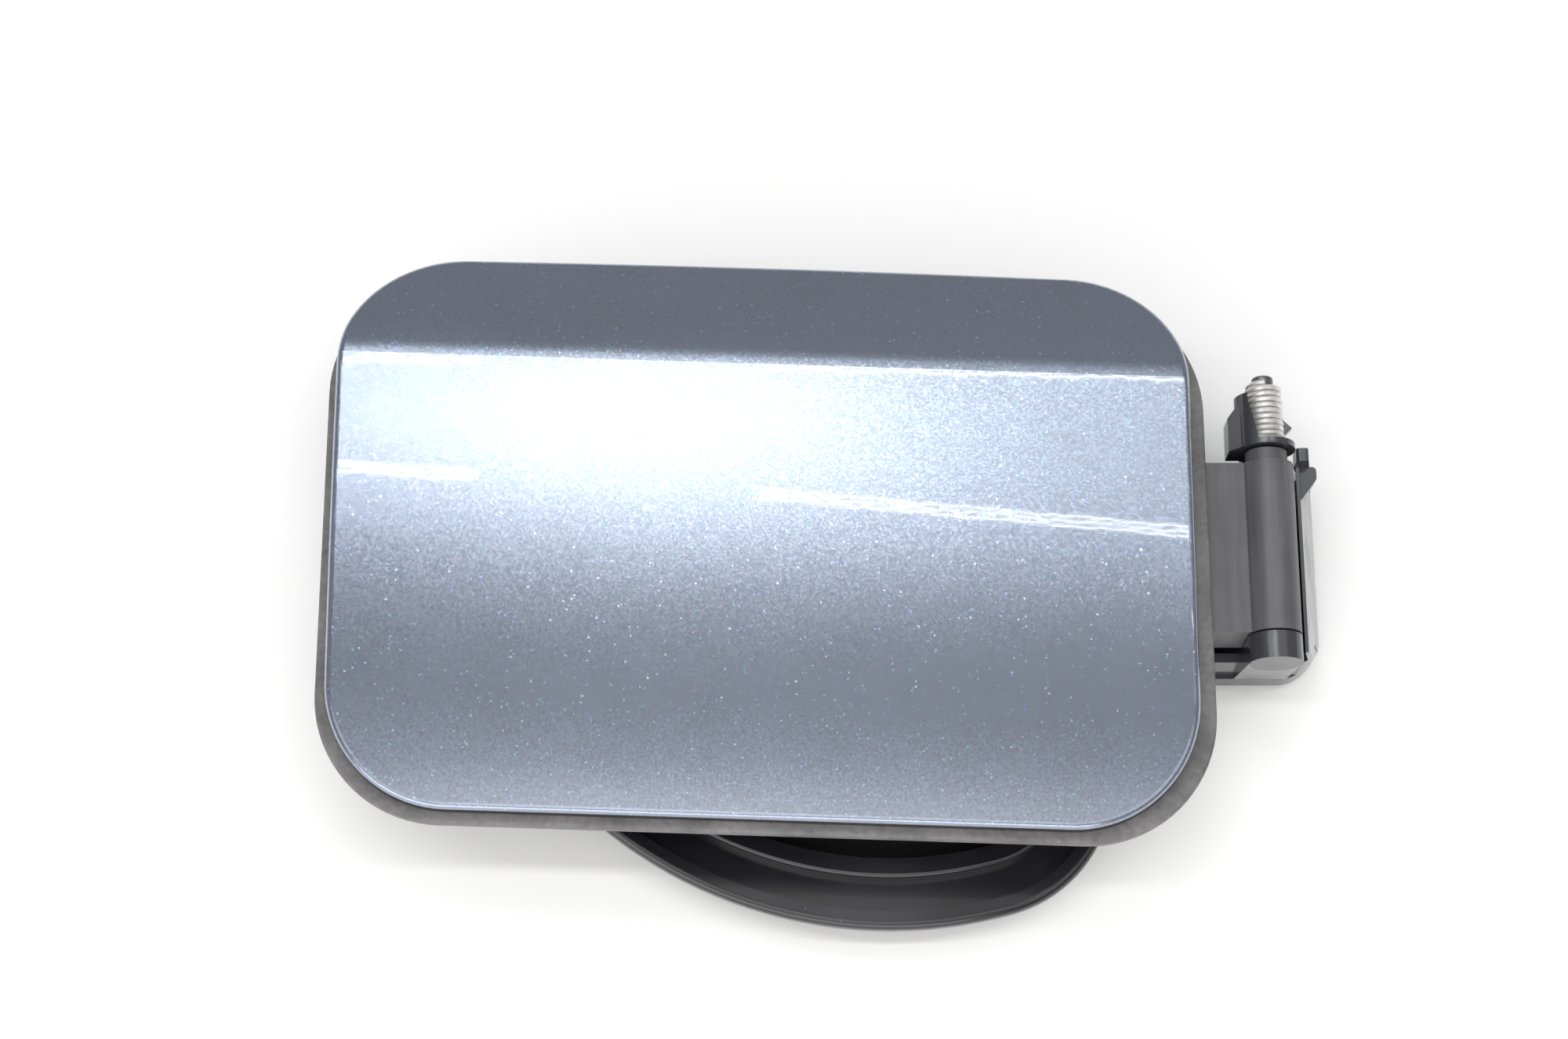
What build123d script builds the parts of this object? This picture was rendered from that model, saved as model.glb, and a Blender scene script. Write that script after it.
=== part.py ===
"""Car fuel door: a painted flap on a sprung hinge, closed over a moulded filler bowl.

Millimetres. The origin is on the filler neck's axis, in the plane that the bowl's floor rests on.
+X points from the bowl to the hinge, +Y runs along the hinge pin, +Z points out through the flap.
"""
from build123d import *
import math
import os

# Flap in plan
rim_width = 204.5             # across the edge seal
rim_height = 133.6            # along the hinge pin, at mid width
flap_mid_x = -12.25
flap_mid_y = 8.2
flap_skew = 1.9               # degrees that the long edges run down towards the hinge
top_bow = 1.2                 # rise of the upper long edge at mid width
rim_corner_radius = 30.0
skin_corner_radius = 28.5
skin_inset_free = 3.2         # seal left showing beside the skin, free edge
skin_inset_hinge = 4.6        # the same, hinge edge
skin_inset_bottom = 2.5       # the same, lower long edge
skin_overhang_top = 1.5       # skin beyond the seal, upper long edge

# Painted skin
skin_wall = 1.1
skin_base_z = 42.1            # bottom of the turned-down edge
skin_bottom_z = 45.6          # painted face at the lower long edge
skin_top_z = 45.4             # painted face at the upper long edge
crease_z = 53.6               # painted face at the body line
crease_from_top = 22.7        # body line below the upper long edge
crown_radius = 700.0          # main face, about X
crease_radius = 28.0
skin_edge_radius = 1.6

# Carrier and edge seal
carrier_z = 39.5              # underside of the carrier plate
carrier_plate = 2.5
carrier_wall = 1.8
carrier_rib = 1.6
rib_columns = 6
rib_rows = 4
skin_fit = 0.25               # carrier to skin
boss_radius = 4.2
boss_height = 4.5
seal_lip = 5.6                # width of the lip, to just under the skin's edge
seal_drop = 0.6               # lip below the carrier plate's top
seal_foot = 0.7               # thickness below the carrier plate
seal_grip = 2.4               # reach of the foot under the plate
seal_lip_radius = 0.8

# Hinge arm and pin
hinge_reach = 14.9            # pin beyond the edge seal
hinge_z = 36.0
arm_mid_y = 9.5
arm_width = 41.0
arm_plate = 3.3
arm_seal_gap = 0.5            # arm's pad to the seal's foot
arm_top_drop = 0.3            # arm below the seal's foot
arm_pad_length = 42.0         # reach of the arm under the carrier
arm_rib_drop = 10.0           # ribs below the arm plate
arm_rib = 3.0
arm_screw_inset = 9.0         # screws from the pad's edges
barrel_radius = 6.2
barrel_neck_radius = 4.9
barrel_neck = 3.2
pin_radius = 2.5
pin_run = 0.06                # radial clearance of the pin in its bearings
pin_tip = 16.8                # pin beyond the upper ear
pin_round = 0.5

# Torsion spring
spring_wire_radius = 0.66
spring_radius = 3.84          # mean radius of a turn
spring_turns = 9
spring_pitch = 1.47
spring_grip_radius = 3.32     # last turn, closed round the pin
spring_leg = 2.2
spring_seat = 0.1             # first turn to the upper ear

# Hinge bracket
ear_gap = 0.5                 # arm to the faces beside it
ear_radius = 6.9
ear_thick = 1.4
ear_web = 9.0                 # width of the wall under the upper ear
boss_end = 6.3                # length of the lower pin boss
boss_cap = 2.0                # closed end of the boss beyond the pin
boss_toe = 3.2                # base behind the boss's end face
bracket_base_z = 7.5
bracket_base = 3.0
bracket_skirt = 3.0           # skirt below the base
bracket_corner = 10.0
bracket_wall = 2.2
wall_top_z = 32.0
wall_gap = 1.3                # side wall's inner top edge beyond the barrel
wall_top_width = 0.8
wall_spread = 7.0             # outer foot of the side wall beyond its inner top edge
wall_slot = 1.0
wall_slot_height = 8.0
cheek_top_z = 22.0            # low wall beside the arm
cheek_reach = 16.0
guard_gap = 0.8               # spring to the guard round it
guard_wall = 1.6
guard_length = 11.5
guard_lap = 2.2               # guard over the spring at the ear, from the pin's axis
guard_far_lap = 4.9           # the same at the far end
fin_reach = 8.6               # fin on the guard, from the pin's axis
fin_length = 13.0
fin_shoulder = 8.2            # length of the fin at its full reach
finger_width = 9.5            # finger under the spring
finger_thick = 2.2
finger_length = 9.5
finger_hook = 3.2
prong_width = 3.2
prong_thick = 2.8
prong_top_z = 34.5
barb_reach = 5.2              # barb's full reach beyond the wall's inner top edge
barb_flat = 3.0               # length of the barb at its full reach
barb_length = 9.0
barb_step = 2.0               # barb's top below the wall's top
barb_drop = 7.0

# Filler bowl and its collar
collar_right = 69.0
collar_left = -84.0
collar_corners = (            # corner, then the radius that rounds it
    ((-11.0, -85.4), 105.0),
    ((collar_right, -65.5), 33.0),
    ((collar_right, 59.0), 36.0),
    ((-8.0, 78.0), 105.0),
    ((collar_left, 52.0), 40.0),
    ((collar_left, -22.0), 45.0),
)
collar_base_z = 10.5
collar_bead = 4.2
collar_bead_top_z = 15.6
collar_land_z = 13.2
collar_band = 11.5            # collar's edge to its inner lip
collar_lip = 4.5
collar_lip_top_z = 18.0
collar_round = 1.9
bowl_inset = 12.5             # collar's edge to the bowl's outer wall
bowl_wall = 2.5
bowl_floor = 2.5
bowl_wall_top_z = 15.5
lug_width = 14.0
lug_reach = 27.0
lug_spacing = 33.0
lug_thick = 3.0
drain_radius = 3.2
drain_bore = 2.0
drain_z = 4.2
drain_length = 11.0
fixing_circle = 43.0          # radius of the body screw circle
fixing_hole_radius = 2.75
fixing_pad_radius = 6.0
fixing_pad = 1.5
fixing_count = 3

# Neck seal
neck_radius = 27.5
neck_sleeve = 3.3
neck_flange = 8.5
neck_flange_thick = 2.5
neck_lip = 2.2
neck_seal_height = 8.0

# Push latch
latch_x = -54.0
latch_y = 8.0
latch_radius = 9.0
latch_top_z = 28.0
latch_bottom = 2.5
latch_boss_wall = 2.4
latch_boss_top_z = 8.0
latch_flange = 2.0
latch_screw_offset = 15.0
plunger_radius = 5.4
plunger_run = 0.1
wiper_width = 1.7
wiper_thick = 2.0
latch_spring_wire = 0.4
latch_spring_radius = 4.2
latch_spring_turns = 4
latch_spring_length = 9.0
head_length = 10.0
head_width = 3.8
head_thick = 2.0
head_neck_radius = 1.7

# Keeper on the flap
keeper_gap = 0.5              # plunger shoulder to the keeper
keeper_depth = 6.5
keeper_wall = 1.8
keeper_width = 16.0
keeper_length = 24.0
keeper_ear = 10.0
slot_clear = 0.9              # latch head to its slot
head_lift = 1.1               # latch head above the keeper's floor

# Fasteners and buffers
screw_radius = 1.9
screw_head_radius = 3.7
screw_head = 2.4
screw_clear = 0.08
screw_recess_radius = 1.6
screw_recess = 1.3
screw_grip = 5.0              # thread beyond the clamped piece
screw_tip_gap = 1.3           # screw's end to the end of its boss
buffer_radius = 5.0
buffer_height = 9.0
buffer_stem_radius = 2.6
buffer_inset = 19.0

# Cap hooks under the carrier
hook_thick = 3.0
hook_drop = 9.0
hook_foot = 5.0
hook_width = 14.0
hook_gap = 26.0

# Places that follow from the sizes above
rim_left = flap_mid_x - rim_width / 2
rim_right = flap_mid_x + rim_width / 2
rim_bottom = flap_mid_y - rim_height / 2
rim_top = flap_mid_y + rim_height / 2
skin_left = rim_left + skin_inset_free
skin_right = rim_right - skin_inset_hinge
skin_bottom = rim_bottom + skin_inset_bottom
skin_top = rim_top + skin_overhang_top
crease_y = skin_top - crease_from_top
carrier_top_z = carrier_z + carrier_plate
seal_base_z = carrier_z - seal_foot
hinge_x = rim_right + hinge_reach
arm_low = arm_mid_y - arm_width / 2
arm_high = arm_mid_y + arm_width / 2
arm_top_z = seal_base_z - arm_top_drop
arm_base_z = arm_top_z - arm_plate
arm_pad_right = rim_right - seal_lip - seal_grip - arm_seal_gap
arm_pad_left = arm_pad_right - arm_pad_length
neck_high = arm_high + barrel_neck
ear_low = neck_high + ear_gap
ear_high = ear_low + ear_thick
boss_high = arm_low - ear_gap
boss_low = boss_high - boss_end
pin_low = boss_low + boss_cap
bracket_top_z = bracket_base_z + bracket_base
bracket_low = boss_low + boss_toe
wall_inner_x = hinge_x + barrel_radius + wall_gap
wall_foot_x = wall_inner_x + wall_spread
spring_outer_radius = spring_radius + spring_wire_radius
guard_radius = spring_outer_radius + guard_gap
bowl_right = collar_right - bowl_inset
plunger_shoulder_z = carrier_z - keeper_depth - keeper_gap
plunger_base_z = bowl_floor + latch_bottom + latch_spring_length
head_z = carrier_z - keeper_depth + keeper_wall + head_lift
arm_screws_at = (
    (arm_pad_left + arm_screw_inset, arm_low + arm_screw_inset),
    (arm_pad_left + arm_screw_inset, arm_high - arm_screw_inset),
    (arm_pad_right - arm_screw_inset, arm_mid_y),
)
keeper_screw_offset = keeper_length / 2 + keeper_ear / 2
keeper_screws_at = (
    (latch_x, latch_y - keeper_screw_offset),
    (latch_x, latch_y + keeper_screw_offset),
)
latch_screws_at = (
    (latch_x, latch_y - latch_screw_offset),
    (latch_x, latch_y + latch_screw_offset),
)
lug_screw_x = bowl_right + lug_reach - lug_width / 2
bracket_screws_at = (
    (lug_screw_x, arm_mid_y - lug_spacing / 2),
    (lug_screw_x, arm_mid_y + lug_spacing / 2),
)
buffers_at = (
    (rim_left + buffer_inset, rim_bottom + 2 * buffer_inset),
    (rim_left + buffer_inset, rim_top - 2 * buffer_inset),
)


def block(x0, x1, y0, y1, z0, z1):
    """A box between two corners."""
    return Pos((x0 + x1) / 2, (y0 + y1) / 2, (z0 + z1) / 2) * Box(x1 - x0, y1 - y0, z1 - z0)


def post(x, y, radius, z0, z1):
    """A round bar that stands along Z."""
    return Pos(x, y, (z0 + z1) / 2) * Cylinder(radius, z1 - z0)


def bar(radius, y0, y1):
    """A round bar on the hinge line."""
    return Pos(hinge_x, (y0 + y1) / 2, hinge_z) * Rot(90, 0, 0) * Cylinder(radius, y1 - y0)


def prism(face, z0, z1):
    """A flat outline raised from one height to another."""
    return extrude(Pos(0, 0, z0) * face, z1 - z0)


def side_plate(points, y0, y1):
    """An outline of X and Z points, carried along Y."""
    outline = Polyline(*[(x, y0, z) for x, z in points], close=True)
    return extrude(make_face(outline), y1 - y0, dir=(0, 1, 0))


def flap_outline(left, right, bottom, top, radius):
    """The flap's plan: upright ends, long edges that lean, and a bowed upper edge."""
    lean = math.tan(math.radians(flap_skew))

    def corner(x, y):
        return (x, y - (x - flap_mid_x) * lean)

    upper_left, upper_right = corner(left, top - top_bow), corner(right, top - top_bow)
    lower_left, lower_right = corner(left, bottom), corner(right, bottom)
    edge = ThreePointArc(upper_right, corner((left + right) / 2, top), upper_left)
    lines = Line(upper_left, lower_left) + Line(lower_left, lower_right) + Line(lower_right, upper_right)
    return fillet(make_face(lines + edge).vertices(), radius)


def rim_outline(inset=0.0):
    """The edge seal's plan, drawn in by an inset."""
    return flap_outline(rim_left + inset, rim_right - inset, rim_bottom + inset, rim_top - inset,
                        rim_corner_radius - inset)


def skin_outline(inset=0.0):
    """The painted skin's plan, drawn in by an inset."""
    return flap_outline(skin_left + inset, skin_right - inset, skin_bottom + inset, skin_top - inset,
                        skin_corner_radius - inset)


def under_skin(drop=0.0):
    """Everything below the painted face, lowered by a drop."""
    run = math.hypot(crease_y - skin_bottom, crease_z - skin_bottom_z) / 2
    tilt = math.atan2(crease_z - skin_bottom_z, crease_y - skin_bottom)
    depth = math.sqrt(crown_radius ** 2 - run ** 2)
    center_y = (crease_y + skin_bottom) / 2 + depth * math.sin(tilt)
    center_z = (crease_z + skin_bottom_z) / 2 - depth * math.cos(tilt)

    def crown(y):
        return center_z + math.sqrt(crown_radius ** 2 - (y - center_y) ** 2)

    spare = rim_height / 10
    first, last = skin_bottom - spare, skin_top + spare
    middle = (first + crease_y) / 2
    fall = (crease_z - skin_top_z) / crease_from_top
    last_z = crease_z - fall * (last - crease_y)
    arc = ThreePointArc((first, crown(first)), (middle, crown(middle)), (crease_y, crease_z))
    sides = Polyline((crease_y, crease_z), (last, last_z), (last, 0), (first, 0), (first, crown(first)))
    face = make_face(arc + sides)
    face = fillet(face.vertices().sort_by_distance((crease_y, crease_z))[0], crease_radius)
    lean = math.radians(flap_skew)
    section = Plane((flap_mid_x, 0, -drop), x_dir=(math.sin(lean), math.cos(lean), 0),
                    z_dir=(math.cos(lean), -math.sin(lean), 0))
    return extrude(section * face, rim_width, both=True)


def outer_skin():
    """Painted skin: one pressing with a body line and a turned-down edge."""
    top = crease_z + skin_wall
    shell = prism(skin_outline(), skin_base_z, top) & under_skin()
    walls = [face for face in shell.faces() if is_wall(face)]
    edges = [edge for wall in walls for edge in wall.edges() if not is_upright(edge)]
    edges = [edge for edge in edges if edge.center().Z > skin_base_z + skin_edge_radius]
    shell = fillet(edges, skin_edge_radius)
    hollow = prism(skin_outline(skin_wall), 0, top) & under_skin(skin_wall)
    return shell - hollow


def is_wall(face):
    """True for a face that stands along Z."""
    return abs(face.normal_at(face.center()).Z) < math.sin(math.radians(1))


def is_upright(edge):
    """True for an edge that stands along Z."""
    return abs(edge.tangent_at(0.5).Z) > math.cos(math.radians(20))


def carrier_frame():
    """Ribbed moulding that backs the skin and carries everything on the flap's inside."""
    top = crease_z
    inset = skin_wall + skin_fit
    outer = skin_outline(inset) & rim_outline(seal_lip)
    inner = skin_outline(inset + carrier_wall) & rim_outline(seal_lip + carrier_wall)
    ribs = prism(outer, carrier_top_z, top) - prism(inner, carrier_top_z, top)
    for i in range(1, rib_columns):
        x = skin_left + (skin_right - skin_left) * i / rib_columns
        ribs += block(x - carrier_rib / 2, x + carrier_rib / 2, skin_bottom, skin_top, carrier_top_z, top)
    for i in range(1, rib_rows):
        y = skin_bottom + (skin_top - skin_bottom) * i / rib_rows
        ribs += block(skin_left, skin_right, y - carrier_rib / 2, y + carrier_rib / 2, carrier_top_z, top)
    plate = prism(rim_outline(seal_lip), carrier_z, carrier_top_z)
    for x, y in arm_screws_at + keeper_screws_at:
        ribs += post(x, y, boss_radius, carrier_top_z, carrier_top_z + boss_height)
        ribs -= post(x, y, screw_radius + screw_clear, carrier_top_z, top)
        plate -= post(x, y, screw_radius + screw_clear, carrier_z, carrier_top_z)
    ribs &= prism(outer, carrier_top_z, top) & under_skin(inset)
    frame = plate + ribs
    for x, y in buffers_at:
        frame -= post(x, y, buffer_stem_radius, carrier_z, carrier_top_z)
    for side in (-1, 1):
        frame += cap_hook(side)
    return frame


def cap_hook(side):
    """One of two hooks under the carrier that hold the filler cap while the flap is open."""
    x = flap_mid_x + side * hook_gap / 2
    low, high = flap_mid_y - hook_width / 2, flap_mid_y + hook_width / 2
    foot_z = carrier_z - hook_drop
    stem = block(x - hook_thick / 2, x + hook_thick / 2, low, high, foot_z, carrier_z)
    foot_end = x - side * (hook_thick / 2 + hook_foot)
    return stem + block(min(x, foot_end), max(x, foot_end), low, high, foot_z, foot_z + hook_thick)


def edge_seal():
    """Rubber seal round the carrier's edge: a lip beside the skin and a foot under the plate."""
    lip = prism(rim_outline(), seal_base_z, carrier_top_z - seal_drop)
    lip = fillet(lip.faces().sort_by(Axis.Z)[-1].edges(), seal_lip_radius)
    lip -= prism(rim_outline(seal_lip), carrier_z, carrier_top_z)
    return lip - prism(rim_outline(seal_lip + seal_grip), seal_base_z, carrier_z)


def hinge_arm():
    """Moulded arm: a pad screwed under the carrier, a ribbed plate and the barrel on the pin."""
    arm = block(arm_pad_left, hinge_x, arm_low, arm_high, arm_base_z, arm_top_z)
    arm += block(arm_pad_left, arm_pad_right, arm_low, arm_high, arm_top_z, carrier_z)
    rib_low = arm_base_z - arm_rib_drop
    rib = ((arm_pad_left + arm_rib, arm_base_z), (arm_pad_right - arm_rib, rib_low),
           (hinge_x - barrel_radius / 2, rib_low), (hinge_x, hinge_z - barrel_radius / 2),
           (hinge_x, arm_base_z))
    for y in (arm_low, arm_high - arm_rib):
        arm += side_plate(rib, y, y + arm_rib)
    arm += bar(barrel_radius, arm_low, arm_high) + bar(barrel_neck_radius, arm_high, neck_high)
    arm -= bar(pin_radius, arm_low, neck_high)
    for x, y in arm_screws_at:
        arm -= post(x, y, screw_radius + screw_clear, arm_base_z, carrier_z)
    return arm


def hinge_pin():
    """Steel pin, pressed into the arm's barrel, with a rounded tip beyond the spring."""
    tip_y = ear_high + pin_tip
    pin = bar(pin_radius, pin_low, tip_y)
    return fillet(pin.faces().sort_by(Axis.Y)[-1].edges(), pin_round)


def torsion_spring():
    """Close-wound spring round the pin: a leg on the bracket's tab and a last turn closed on the pin."""
    start_y = ear_high + spring_wire_radius + spring_seat
    path = Helix(pitch=spring_pitch, height=spring_pitch * spring_turns, radius=spring_radius,
                 center=(hinge_x, start_y, hinge_z), direction=(0, 1, 0))
    coil = sweep(Plane(path @ 0, z_dir=path % 0) * Circle(spring_wire_radius), path=path, is_frenet=True)
    leg_end = (path @ 0) - (path % 0) * spring_leg
    leg = Plane(path @ 0, z_dir=leg_end - (path @ 0)) * Cylinder(
        spring_wire_radius, spring_leg, align=(Align.CENTER, Align.CENTER, Align.MIN))
    top_y = start_y + spring_pitch * spring_turns + spring_wire_radius
    grip = Pos(hinge_x, top_y, hinge_z) * Rot(90, 0, 0) * Torus(spring_grip_radius, spring_wire_radius)
    return coil + leg + grip


def screw(x, y, seat_z, length, up):
    """Pan-head screw with a cross recess; its shank runs up or down from its seat."""
    way = 1 if up else -1
    head_end = seat_z - way * screw_head
    head = post(x, y, screw_head_radius, min(seat_z, head_end), max(seat_z, head_end))
    outer = head.faces().sort_by(Axis.Z)[0 if up else -1]
    head = fillet(outer.edges(), screw_head / 3)
    recess_end = head_end + way * screw_recess
    for turn in (0, 90):
        slot = Box(2 * screw_recess_radius, screw_recess_radius / 2, screw_recess)
        head -= Pos(x, y, (head_end + recess_end) / 2) * Rot(0, 0, turn) * slot
    shank_end = seat_z + way * length
    return head + post(x, y, screw_radius, min(seat_z, shank_end), max(seat_z, shank_end))


def arm_screws():
    """Screws that hold the arm's pad to the carrier."""
    length = carrier_top_z - arm_base_z + boss_height - screw_tip_gap
    return Compound([screw(x, y, arm_base_z, length, True) for x, y in arm_screws_at])


def keeper_screws():
    """Screws that hold the keeper to the carrier."""
    seat = carrier_z - keeper_wall
    length = carrier_top_z - seat + boss_height - screw_tip_gap
    return Compound([screw(x, y, seat, length, True) for x, y in keeper_screws_at])


def latch_screws():
    """Screws that hold the latch's flange to the bowl."""
    seat = latch_boss_top_z + latch_flange
    return Compound([screw(x, y, seat, latch_flange + screw_grip, False) for x, y in latch_screws_at])


def bracket_screws():
    """Screws that hold the bracket's base to the bowl's lugs."""
    length = bracket_base + lug_thick
    return Compound([screw(x, y, bracket_top_z, length, False) for x, y in bracket_screws_at])


def bump_stops():
    """Rubber buffers pressed into the carrier near its free corners."""
    stops = []
    for x, y in buffers_at:
        body = post(x, y, buffer_radius, carrier_z - buffer_height, carrier_z)
        body = fillet(body.faces().sort_by(Axis.Z)[0].edges(), buffer_radius / 3)
        stops.append(body + post(x, y, buffer_stem_radius, carrier_z, carrier_top_z))
    return Compound(stops)


def latch_keeper():
    """Moulded keeper under the carrier, with the slot that the latch's head passes through."""
    low = carrier_z - keeper_depth
    half_x, half_y = keeper_width / 2, keeper_length / 2
    cup = block(latch_x - half_x, latch_x + half_x, latch_y - half_y, latch_y + half_y, low, carrier_z)
    reach = half_y + keeper_ear
    cup += block(latch_x - half_x, latch_x + half_x, latch_y - reach, latch_y + reach,
                 carrier_z - keeper_wall, carrier_z)
    room_x, room_y = half_x - keeper_wall, half_y - keeper_wall
    cup -= block(latch_x - room_x, latch_x + room_x, latch_y - room_y, latch_y + room_y,
                 low + keeper_wall, carrier_z)
    slot_x, slot_y = head_width / 2 + slot_clear, head_length / 2 + slot_clear
    cup -= block(latch_x - slot_x, latch_x + slot_x, latch_y - slot_y, latch_y + slot_y, low, carrier_z)
    for x, y in keeper_screws_at:
        cup -= post(x, y, screw_radius + screw_clear, low, carrier_z)
    return cup


def collar_outline(inset=0.0):
    """The collar's plan, drawn in by an inset."""
    face = make_face(Polyline(*[point for point, radius in collar_corners], close=True))
    for point, radius in collar_corners:
        face = fillet(face.vertices().sort_by_distance(point)[0], radius)
    return offset(face, amount=-inset) if inset else face


def filler_bowl():
    """Bowl moulding: floor, wall, bosses for the latch and the body screws, lugs and a drain."""
    bowl = prism(collar_outline(bowl_inset), 0, bowl_wall_top_z)
    bowl -= prism(collar_outline(bowl_inset + bowl_wall), bowl_floor, bowl_wall_top_z)
    for x, y in fixing_places():
        bowl += post(x, y, fixing_pad_radius, bowl_floor, bowl_floor + fixing_pad)
    bowl += post(latch_x, latch_y, latch_radius + latch_boss_wall, bowl_floor, latch_boss_top_z)
    for x, y in latch_screws_at:
        bowl += post(x, y, boss_radius, bowl_floor, latch_boss_top_z)
    lug_top = bracket_base_z
    for x, y in bracket_screws_at:
        bowl += block(bowl_right - bowl_wall / 2, bowl_right + lug_reach, y - lug_width / 2,
                      y + lug_width / 2, lug_top - lug_thick, lug_top)
    bowl += drain(drain_radius, drain_length)
    bowl -= drain(drain_bore, drain_length + 2 * bowl_wall)
    bowl -= post(0, 0, neck_radius + neck_sleeve, 0, bowl_floor)
    bowl -= post(latch_x, latch_y, latch_radius, bowl_floor, latch_boss_top_z)
    for x, y in fixing_places():
        bowl -= post(x, y, fixing_hole_radius, 0, bowl_floor + fixing_pad)
    for x, y in latch_screws_at:
        bowl -= post(x, y, screw_radius + screw_clear, latch_boss_top_z - screw_grip, latch_boss_top_z)
    for x, y in bracket_screws_at:
        bowl -= post(x, y, screw_radius + screw_clear, 0, lug_top)
    return bowl


def drain(radius, length):
    """The drain's stub on the bowl's left wall, or its bore."""
    wall_x = collar_left + bowl_inset
    y = (collar_corners[4][0][1] + collar_corners[5][0][1]) / 2
    middle = wall_x - drain_length + length / 2
    return Pos(middle, y, drain_z) * Rot(0, 90, 0) * Cylinder(radius, length)


def fixing_places():
    """Centres of the holes for the screws that hold the bowl to the car body."""
    angles = [math.radians(90 + 360 * i / fixing_count) for i in range(fixing_count)]
    return [(fixing_circle * math.cos(a), fixing_circle * math.sin(a)) for a in angles]


def collar_seal():
    """Rubber collar on the bowl's wall: rolled outer bead, dished land and raised inner lip."""
    bead = prism(collar_outline(), collar_base_z, collar_bead_top_z)
    bead = fillet(bead.faces().sort_by(Axis.Z)[-1].edges() + bead.faces().sort_by(Axis.Z)[0].edges(),
                  collar_round)
    bead -= prism(collar_outline(collar_bead), collar_land_z, collar_bead_top_z)
    lip = prism(collar_outline(collar_band), collar_base_z, collar_lip_top_z)
    lip = fillet(lip.faces().sort_by(Axis.Z)[-1].edges(), collar_round / 2)
    collar = bead + lip - prism(collar_outline(collar_band + collar_lip), collar_base_z, collar_lip_top_z)
    slot = prism(collar_outline(bowl_inset), collar_base_z, bowl_wall_top_z)
    slot -= prism(collar_outline(bowl_inset + bowl_wall), collar_base_z, bowl_wall_top_z)
    return collar - slot


def neck_seal():
    """Rubber ring in the bowl's floor that grips the filler neck."""
    outer = neck_radius + neck_flange
    ring = post(0, 0, neck_radius + neck_sleeve, 0, bowl_floor)
    ring += post(0, 0, outer, bowl_floor, bowl_floor + neck_flange_thick)
    ring = fillet(ring.faces().sort_by(Axis.Z)[-1].outer_wire().edges(), neck_flange_thick / 2)
    ring += post(0, 0, neck_radius + neck_lip, bowl_floor, neck_seal_height)
    ring = fillet(ring.faces().sort_by(Axis.Z)[-1].outer_wire().edges(), neck_lip / 3)
    return ring - post(0, 0, neck_radius, 0, neck_seal_height)


def bracket_plan(inset=0.0):
    """The bracket's plan, rounded at its outer corners and drawn in by an inset."""
    left, right = bowl_right, wall_foot_x - inset
    low, high = bracket_low + inset, ear_high - inset
    face = make_face(Polyline((left, low), (right, low), (right, high), (left, high), close=True))
    face = fillet(face.vertices().sort_by_distance((right, low))[0], bracket_corner - inset)
    return fillet(face.vertices().sort_by_distance((right, high))[0], bracket_corner / 3)


def bracket_base_plate():
    """The bracket's base, with a skirt below it outside the bowl's lugs."""
    plate = prism(bracket_plan(), bracket_base_z, bracket_top_z)
    skirt_z = bracket_base_z - bracket_skirt
    skirt = prism(bracket_plan(), skirt_z, bracket_base_z)
    skirt -= prism(bracket_plan(bracket_wall), skirt_z, bracket_base_z)
    lug_end = bowl_right + lug_reach + bracket_wall
    outside = block(lug_end, wall_foot_x, bracket_low, ear_high, skirt_z, bracket_base_z)
    return plate + (skirt & outside)


def side_wall():
    """The bracket's leaning side wall, thin at its top, with its slot, snap prong and barb."""
    lean = ((wall_inner_x, wall_top_z), (wall_inner_x + wall_top_width, wall_top_z),
            (wall_foot_x, bracket_top_z), (wall_foot_x - bracket_wall, bracket_top_z))
    wall = side_plate(lean, bracket_low, ear_high) & prism(bracket_plan(), bracket_top_z, wall_top_z)
    slot_y = bracket_low + bracket_corner / 2
    wall -= block(wall_inner_x, wall_foot_x, slot_y, slot_y + wall_slot, bracket_top_z + wall_slot,
                  bracket_top_z + wall_slot + wall_slot_height)
    prong_low = ear_high - prong_width
    prong = side_plate(((wall_inner_x, wall_top_z - prong_thick), (wall_inner_x, prong_top_z),
                        (wall_inner_x + prong_thick, prong_top_z), (wall_foot_x, bracket_top_z),
                        (wall_foot_x - bracket_wall, bracket_top_z)), prong_low, ear_high)
    prong = fillet(prong.edges().filter_by(Axis.Y).group_by(Axis.Z)[-1], prong_thick / 3)
    root_x, barb_x = wall_inner_x + wall_top_width, wall_inner_x + barb_reach
    barb = make_face(Polyline((root_x, prong_low), (barb_x, prong_low), (barb_x, prong_low - barb_flat),
                              (root_x, prong_low - barb_length), close=True))
    barb = fillet(barb.vertices().group_by(Axis.X)[-1], barb_flat / 3)
    return wall + prong + prism(barb, wall_top_z - barb_drop, wall_top_z - barb_step)


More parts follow.
